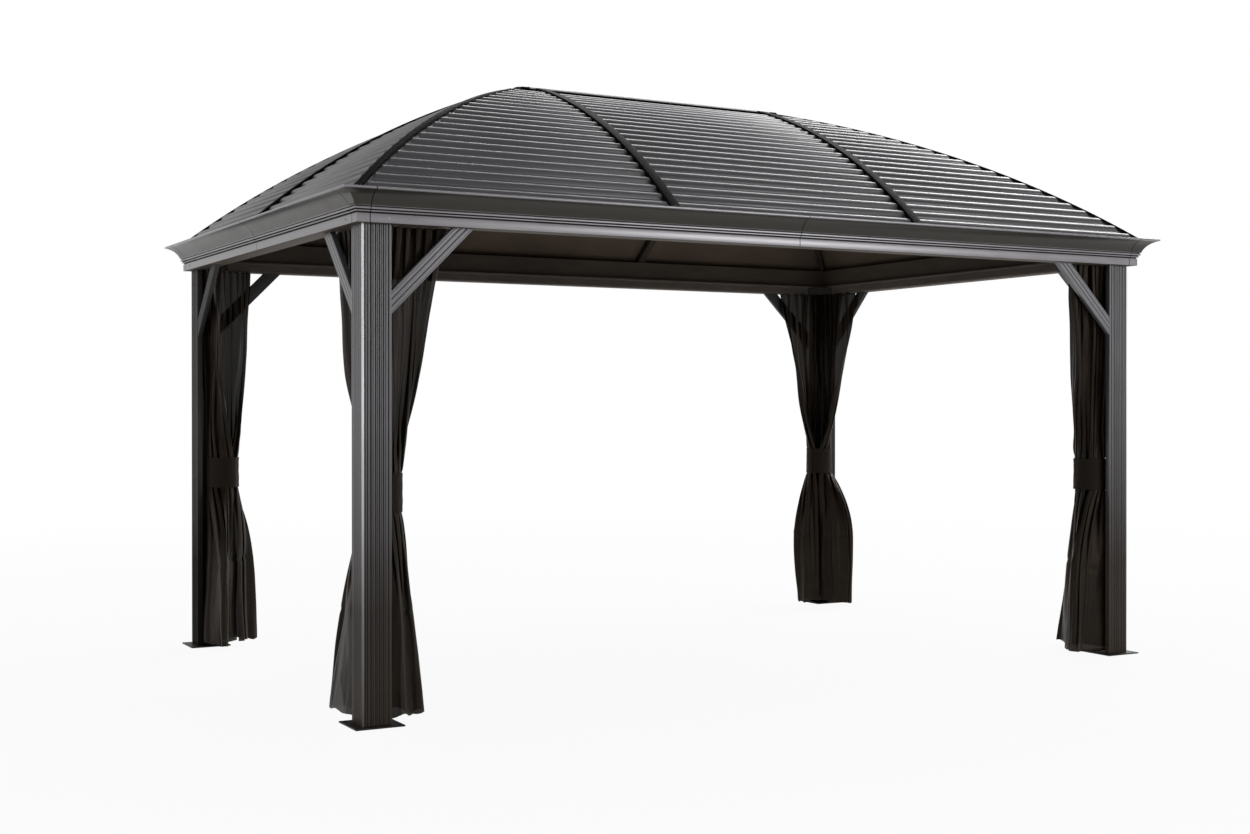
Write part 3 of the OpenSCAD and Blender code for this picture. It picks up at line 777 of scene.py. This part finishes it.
def makeHalf(name, sx, sy, own, turned, seed):
    # one curtain drawn back along its own rail, from the post's inner corner to its free edge.
    # p runs along the rail from the post's outer corner and q across it, inwards.
    columns, rows = curtain["columns"], curtain["rows"]
    u = np.linspace(0, 1, columns)
    random = np.random.default_rng(seed)
    line, bundle = curtain["line"], curtain["bundle"]
    topLine = bezier((0.066, 0.057), (0.200, line + 0.004), (own["top"], own["rail"]), u)
    turn = np.radians(-132 + 168 * u)
    spread = curtain["bundleRadius"] + 0.019 * np.exp(-u / 0.12)
    tieLine = np.stack([bundle + 0.004 + spread * np.cos(turn), bundle - 0.004 + spread * np.sin(turn)], 1)
    inner = (0.160, 0.172) if turned else (0.184, 0.204)
    outer = (0.072, 0.052)
    knee = [2 * far - (start + end) / 2 for far, start, end in zip((own["hem"], own["swing"]), outer, inner)]
    hemLine = bezier(outer, knee, inner, u)
    # uneven pleats: some wide and some narrow, each with a depth of its own
    widths = random.uniform(0.55, 1.5, curtain["folds"] * 2)
    edges = np.concatenate([[0], np.cumsum(widths)]) / widths.sum()
    fold = np.interp(u, edges, np.arange(len(edges))) * math.pi
    fold = fold + 0.25 * np.sin(2 * math.pi * 3 * u + seed)
    depth = np.interp(u, np.linspace(0, 1, 11), random.uniform(0.72, 1.08, 11)) * np.minimum(0.4 + u * 8, 1.0)
    tieTop = curtain["tie"] + curtain["tieDepth"] / 2
    tieLow = curtain["tie"] - curtain["tieDepth"] / 2
    upper, middle = int(rows * 0.5), int(rows * 0.1)
    heights = np.concatenate([np.linspace(curtain["top"], tieTop, upper, endpoint=False),
                              np.linspace(tieTop, tieLow, middle, endpoint=False),
                              np.linspace(tieLow, curtain["hem"], rows - upper - middle)])
    late = 2.8 + (own["late"] - 2.8) * np.sqrt(u)
    points = []
    uvs = []
    for z in heights:
        if z >= tieTop:
            part = (curtain["top"] - z) / (curtain["top"] - tieTop)
            pull = (part ** late)[:, None]
            centre = topLine * (1 - pull) + tieLine * pull
            slack = math.sin(math.pi * part) ** 0.8
            near = max(0.0, 1 - (z - tieTop) / 0.22)
            free = 1 - part
        elif z > tieLow:
            centre = tieLine
            slack, near, free = 0.0, 1.0, 0.0
        else:
            part = (tieLow - z) / (tieLow - curtain["hem"])
            ease = (1 - (1 - min(part / own["open"], 1.0)) ** (3.0 - 1.4 * np.sqrt(u)))[:, None]
            centre = tieLine * (1 - ease) + hemLine * ease
            slack = min(part * 2.2, 1.0)
            near = max(0.0, 1 - (tieLow - z) / 0.16)
            free = part
        tangent = np.gradient(centre, axis=0)
        tangent = tangent / np.hypot(tangent[:, 0], tangent[:, 1])[:, None]
        normal = np.stack([-tangent[:, 1], tangent[:, 0]], 1)
        # pleats are even at the rail and in the band, and between them they wander, merge and fade
        wander = smoothNoise(u, 3.2, z * 1.5, seed) * 2.4 * slack
        phase = fold + wander
        wave = np.sin(phase)
        wave = wave / np.sqrt(wave ** 2 + 0.22) * 1.1
        calm = 0.72 if z > tieTop else 0.88
        fade = 1 - slack * np.clip(calm + 0.6 * smoothNoise(u, 4.0, z * 1.0, seed + 9), 0.25, 0.97)
        deep = (curtain["freePleat"] * free + curtain["tiedPleat"] * (1 - free)) * depth * fade
        roll = 2 * math.pi * 2.2 * u + 1.7 * smoothNoise(u, 1.3, z * 1.2, seed + 4) + seed
        broad = slack * (0.016 * np.sin(roll) + 0.028 * smoothNoise(u, 4.2, z * 1.5, seed + 2)
                         + 0.011 * smoothNoise(u, 9.0, z * 2.6, seed + 3))
        slide = -0.0075 * np.sin(2 * phase) * fade + 0.010 * slack * smoothNoise(u, 2.0, z * 2.6, seed + 7)
        crumple = (0.0035 * near * smoothNoise(u, 40.0, z * 16.0, seed + 5)
                   + 0.0016 * smoothNoise(u, 26.0, z * 9.0, seed + 6))
        offset = deep * wave + broad + crumple
        if z < tieLow:
            # a crease left by packing runs across the lower part
            level = curtain["crease"] + 0.02 * np.sin(5 * u + seed)
            offset = offset + 0.004 * np.exp(-((z - level) / 0.012) ** 2) * (0.5 + np.sin(11 * u + seed))
        spot = centre + normal * offset[:, None] + tangent * slide[:, None]
        if near > 0:
            # nothing bulges past the band's inner face close to it
            away = spot - bundle
            reach = np.hypot(away[:, 0], away[:, 1])
            limit = curtain["bandInside"] + (1 - near) * 0.4
            spot = bundle + away * np.minimum(1.0, limit / reach)[:, None]
        lift = np.zeros(columns)
        if z < curtain["hemRise"]:
            part = (curtain["hemRise"] - z) / (curtain["hemRise"] - curtain["hem"])
            uneven = 0.008 + 0.018 * smoothNoise(u, 7.0, 0.0, seed + 1) + 0.010 * (u - 0.5)
            lift = part * np.maximum(uneven, 0)
        # the post's legs and the beam's face keep the cloth on its own side
        q = np.maximum(spot[:, 1], np.where(spot[:, 0] < 0.135, curtain["near"], 0.004))
        if z > 1.7:
            q = np.maximum(q, curtain["near"])
        p = np.maximum(spot[:, 0], curtain["near"])
        for k in range(columns):
            here = (q[k], p[k]) if turned else (p[k], q[k])
            points.append((*cornerPlace(sx, sy, *here), z + lift[k]))
            uvs.append((u[k] * curtain["flat"][0], z))
    return clothPiece(name, points, uvs, columns, curtainCloth, ())


tie = {"radius": 0.0835, "overlap": 42, "columns": 150, "rows": 14, "flat": (0.60, 0.158)}


def makeTie(name, sx, sy, seed):
    # a wide band wound once round the cloth, its end laid over its start
    points = []
    uvs = []
    columns, rows = tie["columns"], tie["rows"]
    total = 360 + tie["overlap"]
    for r in range(rows + 1):
        v = r / rows
        z = curtain["tie"] + (v - 0.5) * curtain["tieDepth"]
        for k in range(columns + 1):
            w = k / columns
            turn = math.radians(-20 + total * w)
            bulge = 0.0022 * noise.noise(Vector((math.cos(turn) * 3, math.sin(turn) * 3, z * 22 + seed)))
            hemmed = 0.0009 if v < 0.08 or v > 0.92 else 0.0
            radius = tie["radius"] - 0.0028 * (1 - w) + bulge + hemmed
            p = curtain["bundle"] + radius * math.cos(turn)
            q = curtain["bundle"] + radius * math.sin(turn)
            edge = 0.003 * noise.noise(Vector((turn * 1.5, seed, v)))
            points.append((*cornerPlace(sx, sy, p, q), z + edge))
            uvs.append((w * tie["flat"][0], z))
    return clothPiece("tie_band_" + name, points, uvs, columns + 1, tieCloth, ["tie_bands"])


for name, (sx, sy) in corners.items():
    own = shapes[name]
    for way, turned in (("along", False), ("inward", True)):
        half = makeHalf("curtain_" + name + "_" + way, sx, sy, own[way], turned, own["seed"] + 50 * turned)
        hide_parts("curtain_" + name)
    band = makeTie(name, sx, sy, own["seed"])
print("curtains done")

# pieces kept as they were packed, with their finishes
finishes = {"base_plates": plateCoat, "beam_front": beamCoat, "beam_back": beamCoat, "beam_left": beamCoat,
            "beam_right": beamCoat, "curtain_rails": railCoat, "corner_brackets": plateCoat,
            "hip_rafters": rafterCoat, "slope_rafters": rafterCoat, "ridge_beam": rafterCoat}
for name, material in finishes.items():
    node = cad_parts[name]
    for place in node.material_slots:
        place.material = material
    if not node.material_slots:
        node.data.materials.append(material)

# pale floor, white surroundings and soft lamps
ground = {"reach": 60, "down": 0.001, "colour": "#a8a8a8", "shadowFrom": 3.0, "shadowTo": 11.0}
floorMesh = bpy.data.meshes.new("floor")
floorMesh.from_pydata([(x * ground["reach"], y * ground["reach"], -ground["down"])
                       for x, y in ((-1, -1), (1, -1), (1, 1), (-1, 1))], [], [(0, 1, 2, 3)])
floor = bpy.data.objects.new("floor", floorMesh)
scene.collection.objects.link(floor)
floorPaint, tree, shader = newMaterial("matt_white_floor")
shader.inputs["Base Color"].default_value = linear(ground["colour"])
shader.inputs["Roughness"].default_value = 0.9
shader.inputs["Specular IOR Level"].default_value = 0.0
glow = addNode(tree, "ShaderNodeEmission", {"Color": (1, 1, 1, 1), "Strength": 1.0})
ray = addNode(tree, "ShaderNodeLightPath")
seen = addNode(tree, "ShaderNodeMath", {"operation": "MAXIMUM"},
               {0: ray.outputs["Is Camera Ray"], 1: ray.outputs["Is Glossy Ray"]})
seenToo = addNode(tree, "ShaderNodeMath", {"operation": "MAXIMUM"},
                  {0: seen.outputs["Value"], 1: ray.outputs["Is Transmission Ray"]})
place = addNode(tree, "ShaderNodeTexCoord")
away = addNode(tree, "ShaderNodeVectorMath", {"operation": "LENGTH"}, {0: place.outputs["Object"]})
# near the object the floor takes its shadow, and far off it is plain white
clear = addNode(tree, "ShaderNodeMapRange",
                {"From Min": ground["shadowFrom"], "From Max": ground["shadowTo"], "To Min": 0.94,
                 "To Max": 1.0}, {"Value": away.outputs["Value"]})
share = addNode(tree, "ShaderNodeMath", {"operation": "MULTIPLY"},
                {0: seenToo.outputs["Value"], 1: clear.outputs["Result"]})
mixed = addNode(tree, "ShaderNodeMixShader", {}, {0: share.outputs["Value"], 1: shader.outputs["BSDF"],
                                                   2: glow.outputs["Emission"]})
tree.links.new(mixed.outputs["Shader"], tree.nodes["Material Output"].inputs["Surface"])
floorMesh.materials.append(floorPaint)

world = bpy.data.worlds.new("studio")
scene.world = world
world.use_nodes = True
tree = world.node_tree
backing = tree.nodes["Background"]
ray = addNode(tree, "ShaderNodeLightPath")
place = addNode(tree, "ShaderNodeTexCoord")
parts = addNode(tree, "ShaderNodeSeparateXYZ", {}, {0: place.outputs["Generated"]})
# reflections find white round the horizon and a quieter ceiling overhead
ceiling = addNode(tree, "ShaderNodeMapRange",
                  {"From Min": 0.1, "From Max": 0.66, "To Min": 1.0, "To Max": 0.38,
                   "interpolation_type": "SMOOTHSTEP"}, {"Value": parts.outputs["Z"]})
mirrored = addNode(tree, "ShaderNodeMath", {"operation": "MULTIPLY"},
                   {0: ray.outputs["Is Glossy Ray"], 1: ceiling.outputs["Result"]})
direct = addNode(tree, "ShaderNodeMath", {"operation": "MAXIMUM"},
                 {0: ray.outputs["Is Camera Ray"], 1: ray.outputs["Is Transmission Ray"]})
either = addNode(tree, "ShaderNodeMath", {"operation": "MAXIMUM"},
                 {0: mirrored.outputs["Value"], 1: direct.outputs["Value"]})
level = addNode(tree, "ShaderNodeMath", {"operation": "MAXIMUM", 1: 0.3}, {0: either.outputs["Value"]})
tree.links.new(level.outputs["Value"], backing.inputs["Strength"])
backing.inputs["Color"].default_value = (1, 1, 1, 1)

lamps = {
    "frontSoftbox": {"spot": (4.4, -8.6, 2.7), "aim": (0.2, -1.4, 1.9), "size": (2.6, 1.8), "watts": 170},
    "leftSoftbox": {"spot": (-7.6, -3.4, 3.0), "aim": (-2.1, -1.3, 1.9), "size": (3.0, 2.4), "watts": 60},
    "ceilingSoftbox": {"spot": (0.5, 1.6, 8.5), "aim": (0.2, 0.0, 2.2), "size": (9.0, 7.0), "watts": 380,
                       "glossy": False},
    "rightSoftbox": {"spot": (7.6, 1.8, 6.4), "aim": (0.8, -0.4, 2.2), "size": (5.0, 5.0), "watts": 550},
    "rearSoftbox": {"spot": (4.9, 5.2, 8.8), "aim": (0.0, -0.6, 2.5), "size": (8.4, 3.4), "watts": 520}}
for name, own in lamps.items():
    lamp = bpy.data.lights.new(name, "AREA")
    lamp.shape = "RECTANGLE"
    lamp.size, lamp.size_y = own["size"]
    lamp.energy = own["watts"]
    holder = bpy.data.objects.new(name, lamp)
    holder.location = own["spot"]
    holder.rotation_mode = "QUATERNION"
    holder.rotation_quaternion = (Vector(own["aim"]) - Vector(own["spot"])).to_track_quat("-Z", "Y")
    holder.visible_glossy = own.get("glossy", True)
    scene.collection.objects.link(holder)
scene.view_settings.view_transform = "Standard"
print("studio done")
